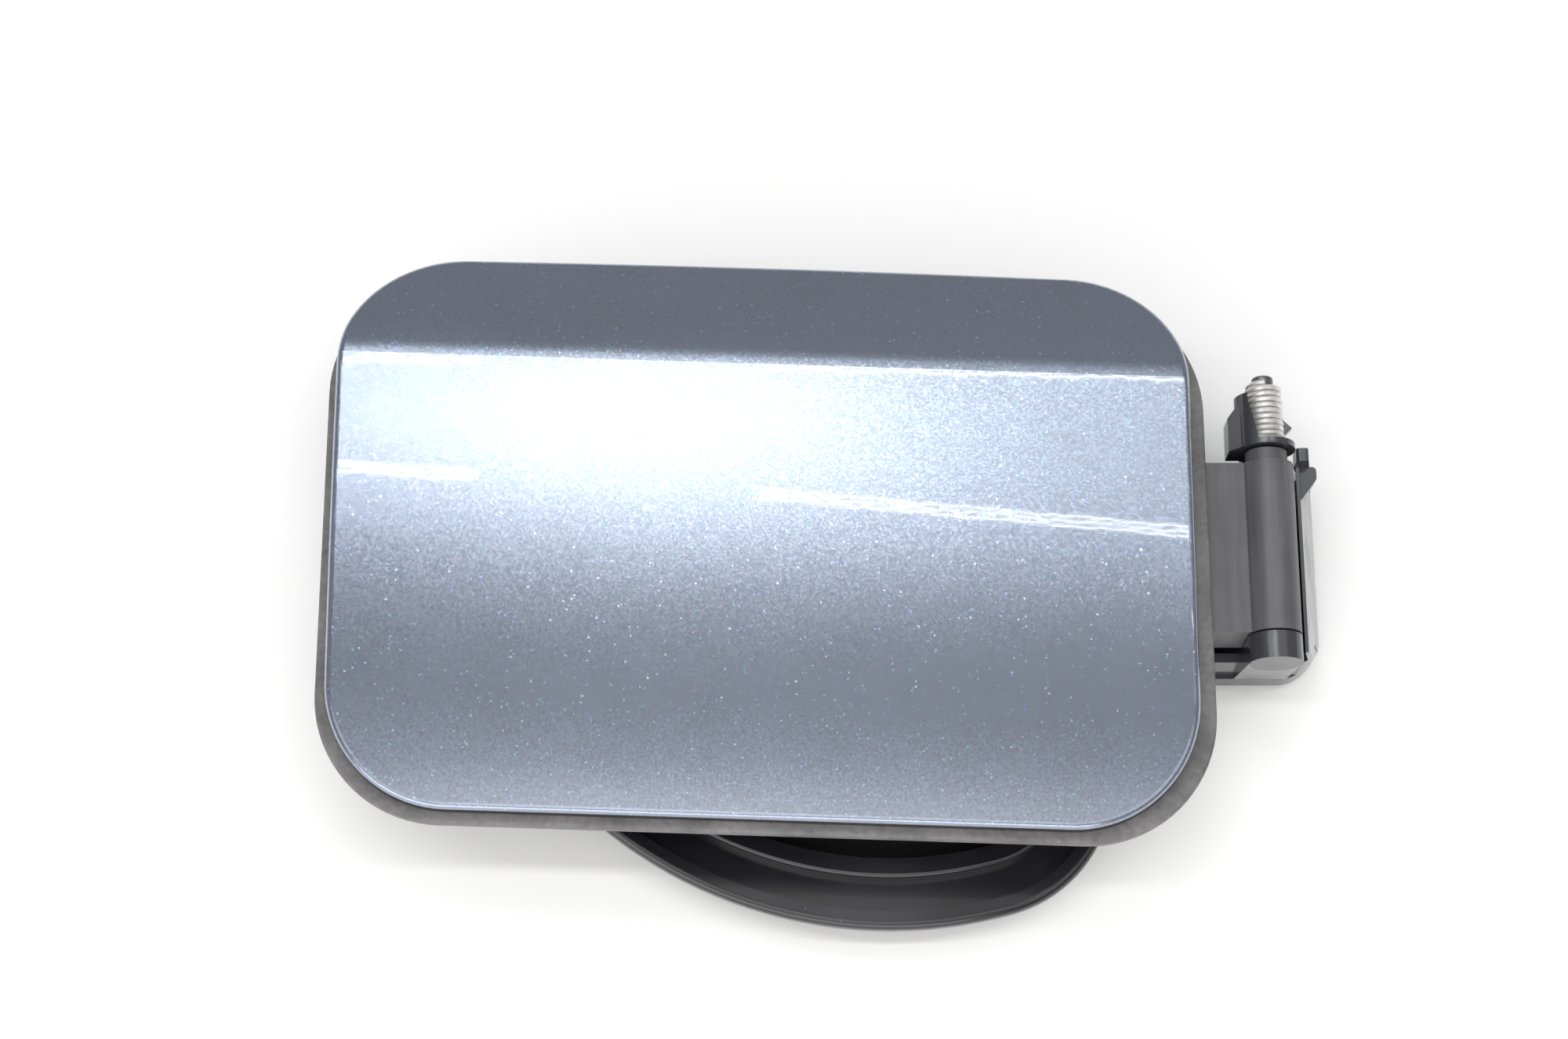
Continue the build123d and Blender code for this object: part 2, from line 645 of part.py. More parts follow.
def spring_guard():
    """Half shell on the upper ear round the spring's inner side, its fin, and the hooked finger below."""
    far = ear_high + guard_length
    outer = guard_radius + guard_wall
    shell = bar(outer, ear_low, far) - bar(guard_radius, ear_low, far)
    shell -= block(hinge_x, hinge_x + outer, ear_low, far, hinge_z - outer, hinge_z + outer)
    lap = make_face(Polyline((hinge_x - guard_lap, ear_low), (hinge_x - guard_far_lap, far), (hinge_x, far),
                             (hinge_x, ear_low), close=True))
    shell -= prism(lap, hinge_z, hinge_z + outer)
    fin_x = hinge_x - fin_reach
    fin_root = hinge_x - guard_radius + guard_wall / 2
    fin_low, fin_top = hinge_z - outer, hinge_z + guard_radius
    fin = make_face(Polyline((fin_x, ear_low), (fin_x, ear_low + fin_shoulder),
                             (fin_root, ear_low + fin_length), (fin_root, ear_low), close=True))
    slope = side_plate(((fin_x, fin_low), (fin_x, hinge_z), (fin_root, fin_top), (fin_root, fin_low)),
                       ear_low, ear_low + fin_length)
    fin = prism(fin, fin_low, fin_top) & slope
    shell += fin - bar(guard_radius, ear_low, ear_low + fin_length)
    top = hinge_z - guard_radius
    right = hinge_x - guard_radius + finger_width
    end = ear_high + finger_length
    finger = block(hinge_x - guard_radius, right, ear_low, end, top - finger_thick, top)
    hook = make_face(Polyline((right - finger_hook, end), (right, end),
                              (right + finger_hook, end - finger_hook), (right, end - 2 * finger_hook),
                              (right - finger_hook, end - finger_hook), close=True))
    return shell + finger + prism(hook, top - finger_thick, top)


def end_walls():
    """The wall below the lower pin boss, which leans in to the base, and the low cheek beside the arm."""
    left = hinge_x - barrel_radius
    lean = Polyline((left, boss_high, hinge_z), (left, boss_low, hinge_z), (left, bracket_low, bracket_top_z),
                    (left, boss_high, bracket_top_z), close=True)
    wall = extrude(make_face(lean), 2 * barrel_radius, dir=(1, 0, 0))
    cheek_x = hinge_x - cheek_reach
    rise = (wall_top_z - cheek_top_z) / (wall_top_z - bracket_top_z)
    outer_top = wall_inner_x + wall_top_width + (wall_foot_x - wall_inner_x - wall_top_width) * rise
    cheek = side_plate(((cheek_x, bracket_top_z), (cheek_x, cheek_top_z), (outer_top, cheek_top_z),
                        (wall_foot_x, bracket_top_z)), boss_high - bracket_wall, boss_high)
    return wall + (cheek & prism(bracket_plan(), bracket_top_z, cheek_top_z))


def hinge_bracket():
    """Gloss moulding beside the bowl that carries the hinge pin."""
    bracket = bracket_base_plate() + side_wall() + end_walls() + spring_guard()
    bracket += bar(barrel_radius, boss_low, boss_high)
    bracket += bar(ear_radius, ear_low, ear_high)
    bracket += block(hinge_x - ear_web / 2, hinge_x + ear_web / 2, ear_low, ear_high,
                     bracket_top_z, hinge_z)
    bracket -= bar(pin_radius + pin_run, pin_low - ear_gap, ear_high)
    for x, y in bracket_screws_at:
        bracket -= post(x, y, screw_radius + screw_clear, bracket_base_z, bracket_top_z)
    return bracket


def latch_body():
    """Push latch's housing: a closed-bottom tube with a flange for its screws."""
    body = post(latch_x, latch_y, latch_radius, bowl_floor, latch_top_z)
    body = fillet(body.faces().sort_by(Axis.Z)[-1].edges(), latch_flange / 2)
    flange_top = latch_boss_top_z + latch_flange
    body += post(latch_x, latch_y, latch_radius + latch_boss_wall, latch_boss_top_z, flange_top)
    body += block(latch_x - boss_radius, latch_x + boss_radius, latch_y - latch_screw_offset,
                  latch_y + latch_screw_offset, latch_boss_top_z, flange_top)
    for x, y in latch_screws_at:
        body += post(x, y, boss_radius, latch_boss_top_z, flange_top)
    for x, y in latch_screws_at:
        body -= post(x, y, screw_radius + screw_clear, latch_boss_top_z, flange_top)
    body -= post(latch_x, latch_y, plunger_radius + plunger_run, bowl_floor + latch_bottom, latch_top_z)
    return body - wiper_seat()


def wiper_seat():
    """The round space for the wiper at the housing's mouth."""
    return post(latch_x, latch_y, plunger_radius + wiper_width, latch_top_z - wiper_thick, latch_top_z)


def latch_wiper():
    """Rubber ring at the housing's mouth."""
    bore = post(latch_x, latch_y, plunger_radius + plunger_run, latch_top_z - wiper_thick, latch_top_z)
    return wiper_seat() - bore


def latch_spring():
    """Compression spring under the plunger."""
    length = latch_spring_length - 2 * latch_spring_wire
    base = bowl_floor + latch_bottom + latch_spring_wire
    path = Helix(pitch=length / latch_spring_turns, height=length, radius=latch_spring_radius,
                 center=(latch_x, latch_y, base))
    return sweep(Plane(path @ 0, z_dir=path % 0) * Circle(latch_spring_wire), path=path, is_frenet=True)


def latch_plunger():
    """Plunger with a neck and a cross head that lines up with the keeper's slot."""
    plunger = post(latch_x, latch_y, plunger_radius, plunger_base_z, plunger_shoulder_z)
    plunger = fillet(plunger.faces().sort_by(Axis.Z)[-1].edges(), head_neck_radius / 2)
    plunger += post(latch_x, latch_y, head_neck_radius, plunger_shoulder_z, head_z + head_thick / 2)
    head = Pos(latch_x, latch_y, head_z + head_thick / 2) * Box(head_width, head_length, head_thick)
    return plunger + fillet(head.edges().filter_by(Axis.Z), head_width / 4)


nodes = {
    "outer_skin": outer_skin,
    "carrier_frame": carrier_frame,
    "edge_seal": edge_seal,
    "hinge_arm": hinge_arm,
    "arm_screws": arm_screws,
    "latch_keeper": latch_keeper,
    "keeper_screws": keeper_screws,
    "bump_stops": bump_stops,
    "hinge_pin": hinge_pin,
    "torsion_spring": torsion_spring,
    "filler_bowl": filler_bowl,
    "collar_seal": collar_seal,
    "neck_seal": neck_seal,
    "hinge_bracket": hinge_bracket,
    "bracket_screws": bracket_screws,
    "latch_body": latch_body,
    "latch_screws": latch_screws,
    "latch_wiper": latch_wiper,
    "latch_spring": latch_spring,
    "latch_plunger": latch_plunger,
}

os.makedirs("parts", exist_ok=True)
for name, make in nodes.items():
    export_step(make(), f"parts/{name}.step")
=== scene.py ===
"""Looks of a car fuel door: paint, plastics, rubbers, springs, floor, light and camera.

Laid out as an add-on and run as a script, in metres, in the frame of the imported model.
"""
import math

import bpy
from bpy.props import FloatProperty, FloatVectorProperty, IntProperty, PointerProperty
from mathutils import Matrix, Vector


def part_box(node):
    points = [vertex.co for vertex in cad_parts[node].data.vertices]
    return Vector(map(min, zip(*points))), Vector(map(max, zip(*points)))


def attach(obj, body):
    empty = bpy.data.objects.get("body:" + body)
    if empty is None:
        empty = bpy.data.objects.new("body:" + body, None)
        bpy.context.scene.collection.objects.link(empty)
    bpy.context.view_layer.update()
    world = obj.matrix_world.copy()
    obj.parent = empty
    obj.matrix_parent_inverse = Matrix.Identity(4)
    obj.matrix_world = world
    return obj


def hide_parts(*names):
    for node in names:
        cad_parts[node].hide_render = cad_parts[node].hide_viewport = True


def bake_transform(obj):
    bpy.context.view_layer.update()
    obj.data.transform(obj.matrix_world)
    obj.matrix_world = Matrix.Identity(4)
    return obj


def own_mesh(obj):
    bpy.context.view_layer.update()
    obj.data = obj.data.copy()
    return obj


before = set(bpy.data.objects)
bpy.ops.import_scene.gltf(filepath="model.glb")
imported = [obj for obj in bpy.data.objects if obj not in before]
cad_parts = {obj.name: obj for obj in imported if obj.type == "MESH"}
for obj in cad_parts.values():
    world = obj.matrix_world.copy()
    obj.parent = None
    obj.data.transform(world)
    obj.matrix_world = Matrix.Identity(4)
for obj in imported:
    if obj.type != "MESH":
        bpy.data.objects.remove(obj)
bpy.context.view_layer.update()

bl_info = {
    "name": "Car Fuel Door",
    "version": (1, 0, 0),
    "blender": (4, 5, 0),
    "location": "3D View > Sidebar > Fuel Door",
    "description": "Finishes, springs, floor, light and camera of a car fuel door",
    "category": "Object",
}

MM = 0.001
TAU = 2 * math.pi

skin_foot_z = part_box("outer_skin")[0].z
pin_low, pin_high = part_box("hinge_pin")
coil_low, coil_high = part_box("torsion_spring")
push_low, push_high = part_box("latch_spring")
hinge_x = (pin_low.x + pin_high.x) / 2
hinge_z = (pin_low.z + pin_high.z) / 2
push_x = (push_low.x + push_high.x) / 2
push_y = (push_low.y + push_high.y) / 2


def colour(name, description, *rgb):
    """A colour that the user can change, in linear light."""
    return FloatVectorProperty(name=name, description=description, default=(*rgb, 1.0),
                               size=4, min=0.0, max=1.0, subtype="COLOR")


def length(name, description, default):
    """A length that the user can change, in metres."""
    return FloatProperty(name=name, description=description, default=default, min=0.0,
                         unit="LENGTH", precision=5)


def share(name, description, default):
    """A plain number from 0 to 1 that the user can change."""
    return FloatProperty(name=name, description=description, default=default, min=0.0, max=1.0,
                         subtype="FACTOR")


def brightness(name, description, default):
    """A lamp's brightness that the user can change."""
    return FloatProperty(name=name, description=description, default=default, min=0.0)


class PaintSettings(bpy.types.PropertyGroup):
    """Metallic paint of the flap's skin."""

    body_colour: colour("Body", "Paint between the coloured flakes", 0.318, 0.362, 0.450)
    blue_colour: colour("Blue flakes", "Flakes that lean to blue", 0.288, 0.354, 0.468)
    violet_colour: colour("Violet flakes", "Flakes that lean to violet", 0.330, 0.350, 0.454)
    deep_colour: colour("Deep", "Paint where the flakes lie deep", 0.250, 0.281, 0.345)
    dust_colour: colour("Dust", "Loose dust on the skin", 0.75, 0.75, 0.75)
    # Edge shadow: a painted shade colour for the foot of the skin's edge, standing in for the
    # shadow in the gap above the rim.
    edge_shadow_colour: colour("Edge shadow", "Painted shade along the foot of the skin's edge", 0.016, 0.015, 0.015)
    edge_shadow_height: length("Edge shadow height", "Height of the painted shade above the foot of the edge", 2.3 * MM)
    flake_size: length("Flake size", "Width of one metal flake", 0.40 * MM)
    flake_tilt: share("Flake tilt", "How far the flakes lean", 0.034)
    spark_share: share("Sparks", "Share of the flakes that show a colour of their own", 0.016)
    coat_roughness: share("Coat roughness", "Roughness of the clear coat", 0.03)


class RubberSettings(bpy.types.PropertyGroup):
    """Rubber rim, collar, seals and stops."""

    rim_colour: colour("Rim", "Clean rubber of the rim", 0.114, 0.111, 0.113)
    rim_dust_colour: colour("Rim dust", "Dust worked into the rim", 0.238, 0.232, 0.235)
    rim_speck_colour: colour("Rim specks", "Pale specks caught on the rim", 0.5, 0.48, 0.45)
    collar_colour: colour("Collar", "Rubber of the collar", 0.008, 0.008, 0.010)
    bloom_colour: colour("Bloom", "Grey bloom on old rubber", 0.026, 0.026, 0.034)
    lint_colour: colour("Lint", "Lint on the black rubber", 0.35, 0.35, 0.34)
    stop_colour: colour("Stops", "Rubber of the stops and the wiper", 0.018, 0.018, 0.018)


class PlasticSettings(bpy.types.PropertyGroup):
    """Moulded plastics."""

    arm_colour: colour("Arm", "Satin plastic of the hinge arm", 0.087, 0.085, 0.094)
    bracket_colour: colour("Bracket", "Gloss plastic of the hinge bracket", 0.045, 0.045, 0.051)
    haze_colour: colour("Haze", "Handling haze on the gloss plastic", 0.05, 0.05, 0.054)
    carrier_colour: colour("Carrier", "Matt plastic behind the skin", 0.034, 0.034, 0.036)
    bowl_colour: colour("Bowl", "Matt plastic of the filler bowl", 0.007, 0.007, 0.008)
    latch_colour: colour("Latch", "Satin plastic of the latch and keeper", 0.042, 0.042, 0.044)
    plunger_colour: colour("Plunger", "Pale plastic of the latch's plunger", 0.55, 0.55, 0.53)


class MetalSettings(bpy.types.PropertyGroup):
    """Springs, pin and screws."""

    zinc_colour: colour("Zinc", "Bright plating of the springs", 0.88, 0.88, 0.86)
    dull_zinc_colour: colour("Dull zinc", "Plating that has gone dull", 0.66, 0.65, 0.63)
    pin_colour: colour("Pin", "Oiled steel of the hinge pin", 0.16, 0.16, 0.165)
    screw_colour: colour("Screws", "Plating of the screws", 0.60, 0.60, 0.59)


class SpringSettings(bpy.types.PropertyGroup):
    """Wound springs."""

    coil_wire: length("Hinge spring wire", "Radius of the hinge spring's wire", 0.66 * MM)
    coil_turns: FloatProperty(name="Hinge spring turns", description="Turns of the hinge spring",
                              default=10.0, min=2.0)
    coil_grip: length("Hinge spring grip", "Radius of the turn that grips the pin", 3.32 * MM)
    coil_leg: length("Hinge spring leg", "Straight end of the hinge spring", 2.2 * MM)
    push_wire: length("Latch spring wire", "Radius of the latch spring's wire", 0.4 * MM)
    push_turns: FloatProperty(name="Latch spring turns", description="Turns of the latch spring",
                              default=6.0, min=3.0)
    points_per_turn: IntProperty(name="Points per turn", default=40, min=12,
                                 description="Points along one turn of wire")
    wire_sides: IntProperty(name="Wire sides", default=14, min=6,
                            description="Sides of the wire's round")


class StageSettings(bpy.types.PropertyGroup):
    """Floor, light and camera."""

    floor_colour: colour("Floor", "Pale table top", 0.876, 0.877, 0.874)
    floor_lift: share("Floor lift", "Brightness added to the floor where the camera sees it", 0.11)
    wall_colour: colour("Walls", "Light that comes from the room's walls", 0.352, 0.349, 0.354)
    base_colour: colour("Ceiling tint", "Light from the ceiling away from its bright band",
                        1.0, 0.98, 0.965)
    band_colour: colour("Band tint", "Light from the ceiling's bright band", 0.92, 0.99, 1.0)
    ceiling_level: brightness("Ceiling", "Brightness of the soft lamp overhead", 0.22)
    core_level: brightness("Core", "Added brightness at the lamp's brightest place", 5.5)
    band_level: brightness("Band", "Added brightness along the lamp's bright band", 0.82)
    front_level: brightness("Front", "Added brightness of the lamp's front part", 1.55)
    panel_level: brightness("Front panel", "Brightness of the upright front panel", 2.2)
    strip_level: brightness("Top strip", "Brightness of the long lamp overhead", 15.0)
    row_level: brightness("Near rows", "Brightness of the near rows of small lamps", 40.0)
    far_row_level: brightness("Far rows", "Brightness of the far rows of small lamps", 38.0)
    far_row_breadth: FloatProperty(name="Far rows' breadth", default=1.6, min=0.1,
                                   description="Breadth of the far rows beside the near ones")
    camera_aim: FloatVectorProperty(name="Camera aim", description="Point that the camera looks at",
                                    default=(-0.008, 0.014, 0.045), subtype="TRANSLATION")
    camera_distance: length("Camera distance", "From the aim to the camera", 0.7)
    camera_height: FloatProperty(name="Camera height", description="Camera's angle above the table",
                                 default=math.radians(72), subtype="ANGLE")
    camera_lens: FloatProperty(name="Lens", description="Focal length on a 36 mm frame",
                               default=70.0, unit="CAMERA")


class FuelDoorSettings(bpy.types.PropertyGroup):
    """All that a user would change."""

    paint: PointerProperty(type=PaintSettings)
    rubber: PointerProperty(type=RubberSettings)
    plastic: PointerProperty(type=PlasticSettings)
    metal: PointerProperty(type=MetalSettings)
    spring: PointerProperty(type=SpringSettings)
    stage: PointerProperty(type=StageSettings)


class Socket:
    """A node's output. Arithmetic on it adds Math nodes to its tree."""

    def __init__(self, tree, output):
        self.tree = tree
        self.output = output

    def other(self, name):
        """Another output of the same node."""
        return Socket(self.tree, self.output.node.outputs[name])

    def math(self, operation, *values):
        return self.tree.math(operation, self, *values)

    def __add__(self, other):
        return self.math("ADD", other)

    __radd__ = __add__

    def __mul__(self, other):
        return self.math("MULTIPLY", other)

    __rmul__ = __mul__

    def __sub__(self, other):
        return self.math("SUBTRACT", other)

    def __rsub__(self, other):
        return self.tree.math("SUBTRACT", other, self)

    def __truediv__(self, other):
        return self.math("DIVIDE", other)

    def __gt__(self, other):
        return self.math("GREATER_THAN", other)


class Tree:
    """A node tree, with one method that adds any node."""

    def __init__(self, tree):
        self.tree = tree

    def node(self, kind, settings=None, sockets=None, output=0):
        """Adds a node: its settings first, then the values or links of its sockets."""
        node = self.tree.nodes.new(kind)
        for name, value in (settings or {}).items():
            if name == "stops":
                self.set_stops(node.color_ramp, value)
            else:
                setattr(node, name, value)
        for name, value in (sockets or {}).items():
            if isinstance(value, Socket):
                self.tree.links.new(value.output, node.inputs[name])
            else:
                node.inputs[name].default_value = value
        return Socket(self, node.outputs[output]) if len(node.outputs) else None

    @staticmethod
    def set_stops(ramp, stops):
        """Gives a colour ramp its stops, as pairs of place and colour."""
        ramp.elements.remove(ramp.elements[-1])
        ramp.elements[0].position, ramp.elements[0].color = stops[0]
        for place, shade in stops[1:]:
            ramp.elements.new(place).color = shade

    def math(self, operation, *values):
        return self.node("ShaderNodeMath", {"operation": operation}, dict(enumerate(values)))

    def vector(self, operation, *values):
        return self.node("ShaderNodeVectorMath", {"operation": operation}, dict(enumerate(values)))

    def mix(self, factor, first, second):
        """Mixes two colours."""
        return self.node("ShaderNodeMix", {"data_type": "RGBA"},
                         {0: factor, 6: first, 7: second}, 2)

    def spread(self, value, low, high, way="LINEAR"):
        """Takes low to high onto 0 to 1, and holds it there."""
        return self.node("ShaderNodeMapRange", {"interpolation_type": way},
                         {"Value": value, "From Min": low, "From Max": high})


class Finish(Tree):
    """A procedural material."""

    def __init__(self, name):
        self.material = bpy.data.materials.new(name)
        self.material.use_nodes = True
        self.material.node_tree.nodes.clear()
        super().__init__(self.material.node_tree)
        self.place = self.node("ShaderNodeTexCoord", output="Object")

    def stretched(self, *scale):
        """Object coordinates, with each axis scaled by its own amount."""
        return self.vector("MULTIPLY", self.place, scale)

    def noise(self, size, detail=3.0, place=None):
        """Soft noise with blobs of about that size."""
        return self.node("ShaderNodeTexNoise", {},
                         {"Vector": place or self.place, "Scale": 1 / size, "Detail": detail})

    def cells(self, size):
        """Distance to the middle of the nearest of many random cells of about that size."""
        return self.node("ShaderNodeTexVoronoi", {}, {"Vector": self.place, "Scale": 1 / size},
                         "Distance")

    def bump(self, height, strength, distance):
        return self.node("ShaderNodeBump", {},
                         {"Height": height, "Strength": strength, "Distance": distance})

    def end(self, shader):
        """Ends the material in a shader and gives it back."""
        self.node("ShaderNodeOutputMaterial", {}, {"Surface": shader})
        return self.material

    def surface(self, sockets):
        """Ends the material as a solid's surface."""
        return self.end(self.node("ShaderNodeBsdfPrincipled", {}, sockets))

    def glow(self, sockets):
        """Ends the material as a plain light."""
        return self.end(self.node("ShaderNodeEmission", {}, sockets))


def scaled(body_colour, times, lift=0.0):
    """A colour made lighter or darker, with each part scaled and then lifted."""
    return (*(min(1.0, part * times + lift) for part in body_colour[:3]), 1.0)


def bell(value, middle, reach):
    """A smooth bump of a value: 1 at the middle, falling off over that reach."""
    offset = (value - middle) / reach
    return (offset * offset * -1.0).math("EXPONENT")


SPARK_HUES = (
    (0.0, (0.25, 0.62, 0.60, 1.0)),
    (0.3, (0.35, 0.62, 0.55, 1.0)),
    (0.5, (0.30, 0.45, 0.85, 1.0)),
    (0.75, (0.52, 0.45, 0.82, 1.0)),
    (1.0, (0.80, 0.84, 0.90, 1.0)),
)


def paint_finish(paint):
    """Blue-grey metallic paint: leaning flakes and a few coloured sparks under a clear coat.

    A little loose dust lies on it, and a painted shade darkens the foot of the skin's edge,
    standing in for the shadow in the gap above the rim.
    """
    cloud_size, dust_spacing, edge_shadow_fade = 16 * MM, 9 * MM, 0.4 * MM
    flake_depth, cloud_depth = 0.5, 0.25
    spark_cover, dust_cover = 0.55, 0.4
    metal, dull_roughness, flake_roughness, polish = 0.9, 0.51, 0.05, 0.3
    finish = Finish("skin_paint")
    flakes = finish.cells(paint.flake_size)
    random = flakes.other("Color")
    flake = finish.node("ShaderNodeSeparateColor", {}, {"Color": random}, "Red")
    hue, spark = flake.other("Green"), flake.other("Blue")
    cloud = finish.spread(finish.noise(cloud_size, 4.0), 0.3, 0.7)
    hues = ((0.0, paint.blue_colour), (0.5, paint.body_colour), (1.0, paint.violet_colour))
    body = finish.node("ShaderNodeValToRGB", {"stops": hues}, {"Fac": hue}, "Color")
    body = finish.mix(flake * flake_depth + cloud * cloud_depth, body, paint.deep_colour)
    tint = finish.node("ShaderNodeValToRGB", {"stops": SPARK_HUES}, {"Fac": hue}, "Color")
    body = finish.mix((spark > 1 - paint.spark_share) * spark_cover, body, tint)
    dust = finish.spread(finish.cells(dust_spacing), 0.022, 0.010)
    body = finish.mix(dust * dust_cover, body, paint.dust_colour)
    # Painted shade: the foot of the skin's edge is made dark and loses its metal and coat, standing
    # in for the shadow in the gap above the rim.
    height = finish.node("ShaderNodeSeparateXYZ", {}, {"Vector": finish.place}, "Z")
    edge_shadow_top = skin_foot_z + paint.edge_shadow_height
    edge_shadow = finish.spread(height, edge_shadow_top, edge_shadow_top - edge_shadow_fade)
    body = finish.mix(edge_shadow, body, paint.edge_shadow_colour)
    unmarked = 1 - (dust + edge_shadow).math("MINIMUM", 1.0)
    lean = finish.vector("SUBTRACT", random, (0.5, 0.5, 0.5))
    lean = finish.vector("MULTIPLY", lean, (paint.flake_tilt,) * 3)
    facing = finish.node("ShaderNodeNewGeometry", output="Normal")
    normal = finish.vector("NORMALIZE", finish.vector("ADD", facing, lean))
    return finish.surface({
        "Base Color": body,
        "Metallic": unmarked * metal,
        "Roughness": dull_roughness + flake * flake_roughness - unmarked * polish,
        "Normal": normal,
        "Coat Weight": unmarked,
        "Coat Roughness": paint.coat_roughness,
        "Coat IOR": 1.5,
    })


def dusty_rubber_finish(rubber):
    """Dark grey rubber of the rim with dust worked into it and a few pale specks."""
    fine_size, patch_size, speck_spacing = 1.6 * MM, 13 * MM, 3.6 * MM
    finish = Finish("edge_rubber")
    fine = finish.noise(fine_size, 6.0)
    patch = finish.noise(patch_size)
    dust = finish.spread(fine * 0.40 + patch * 0.60, 0.36, 0.70)
    body = finish.mix(dust, rubber.rim_colour, rubber.rim_dust_colour)
    speck = finish.spread(finish.cells(speck_spacing), 0.06, 0.03)
    body = finish.mix(speck * 0.5, body, rubber.rim_speck_colour)
    return finish.surface({
        "Base Color": body,
        "Roughness": 0.48 + dust * 0.25,
        "Normal": finish.bump(fine, strength=0.35, distance=0.10 * MM),
    })


def satin_rubber_finish(name, body_colour, rubber, roughness, ior):
    """Black rubber with a soft sheen, a faint grey bloom and a little lint."""
    bloom_size, fine_size, lint_spacing = 24 * MM, 0.5 * MM, 5 * MM
    finish = Finish(name)
    bloom = finish.spread(finish.noise(bloom_size), 0.40, 0.85, "SMOOTHSTEP")
    fine = finish.noise(fine_size)
    body = finish.mix(bloom * 0.5 + fine * 0.12, body_colour, rubber.bloom_colour)
    lint = finish.spread(finish.cells(lint_spacing), 0.035, 0.018)
    body = finish.mix(lint * 0.6, body, rubber.lint_colour)
    return finish.surface({
        "Base Color": body,
        "Roughness": roughness + bloom * 0.08 + fine * 0.05,
        "IOR": ior,
        "Normal": finish.bump(fine, strength=0.06, distance=0.05 * MM),
    })


def moulded_finish(name, body_colour, roughness, grain_size, grain):
    """Moulded plastic with a fine spark-eroded grain and paler rubbed patches."""
    rubbed_size = 22 * MM
    finish = Finish(name)
    fine = finish.noise(grain_size, 4.0)
    rubbed = finish.spread(finish.noise(rubbed_size, 4.0), 0.45, 0.75)
    pale = scaled(body_colour, times=1.7, lift=0.012)
    body = finish.mix(fine * 0.25 + rubbed * 0.35, body_colour, pale)
    return finish.surface({
        "Base Color": body,
        "Roughness": roughness + rubbed * 0.10 - fine * 0.06,
        "Normal": finish.bump(fine, strength=grain, distance=0.08 * MM),
    })


def arm_finish(plastic):
    """Satin dark grey plastic with pale streaks along the pin, a painted highlight that stands in
    for lamp reflections on the barrel.
    """
    lengthwise_noise_size, fine_size, worn_size = 1.9 * MM, 0.35 * MM, 9 * MM
    finish = Finish("arm_plastic")
    lengthwise_noise = finish.noise(lengthwise_noise_size, 3.0, finish.stretched(1.0, 0.05, 1.0))
    fine = finish.noise(fine_size, 2.0)
    worn = finish.spread(finish.noise(worn_size, 4.0), 0.42, 0.72)
    # Painted highlight: pale streaks along the pin stand in for lamp reflections on the barrel, and
    # they also raise the roughness.
    painted_streak = finish.spread(lengthwise_noise, 0.38, 0.66)
    pale = scaled(plastic.arm_colour, times=1.7)
    body = finish.mix(painted_streak * 0.55 + worn * 0.25, plastic.arm_colour, pale)
    return finish.surface({
        "Base Color": body,
        "Roughness": 0.30 + painted_streak * 0.14 + fine * 0.06,
        "Normal": finish.bump(lengthwise_noise * 0.7 + fine * 0.3, strength=0.12, distance=0.05 * MM),
    })


def gloss_finish(plastic):
    """Gloss black plastic with handling haze."""
    haze_size, fine_size = 11 * MM, 0.8 * MM
    finish = Finish("bracket_plastic")
    haze = finish.spread(finish.noise(haze_size, 5.0), 0.45, 0.78)
    fine = finish.noise(fine_size)
    body = finish.mix(haze * 0.5 + fine * 0.1, plastic.bracket_colour, plastic.haze_colour)
    return finish.surface({
        "Base Color": body,
        "Roughness": 0.14 + haze * 0.16 + fine * 0.04,
        "IOR": 1.5,
        "Coat Weight": 0.3,
        "Coat Roughness": 0.10,
        "Coat IOR": 1.5,
        "Normal": finish.bump(fine, strength=0.04, distance=0.05 * MM),
    })


def plated_finish(name, bright_colour, dull_colour, roughness):
    """Zinc plating with dull patches and a fine drawn grain."""
    dull_size, grain_size = 1.7 * MM, 0.16 * MM
    finish = Finish(name)
    dull = finish.spread(finish.noise(dull_size, 4.0), 0.40, 0.70)
    grain = finish.noise(grain_size, 2.0)
    body = finish.mix(dull * 0.7 + grain * 0.2, bright_colour, dull_colour)
    return finish.surface({
        "Base Color": body,
        "Metallic": 0.72 + dull * 0.1,
        "Roughness": roughness + dull * 0.16 + grain * 0.08,
        "Normal": finish.bump(grain, strength=0.10, distance=0.03 * MM),
    })


def pin_finish(metal):
    """Dark oiled steel with turning rings round the pin."""
    ring_size, oil_size = 0.25 * MM, 4 * MM
    finish = Finish("pin_steel")
    rings = finish.noise(ring_size, 2.0, finish.stretched(0.02, 1.0, 0.02))
    oil = finish.spread(finish.noise(oil_size, 4.0), 0.40, 0.70)
    pale = scaled(metal.pin_colour, times=2.2)
    body = finish.mix(rings * 0.5 + oil * 0.2, metal.pin_colour, pale)
    return finish.surface({
        "Base Color": body,
        "Metallic": 1.0,
        "Roughness": 0.42 - oil * 0.16 + rings * 0.1,
        "Normal": finish.bump(rings, strength=0.15, distance=0.03 * MM),
    })


def dress(material, *names):
    """Gives carried-over nodes a finish."""
    for name in names:
        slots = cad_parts[name].data.materials
        slots.clear()
        slots.append(material)


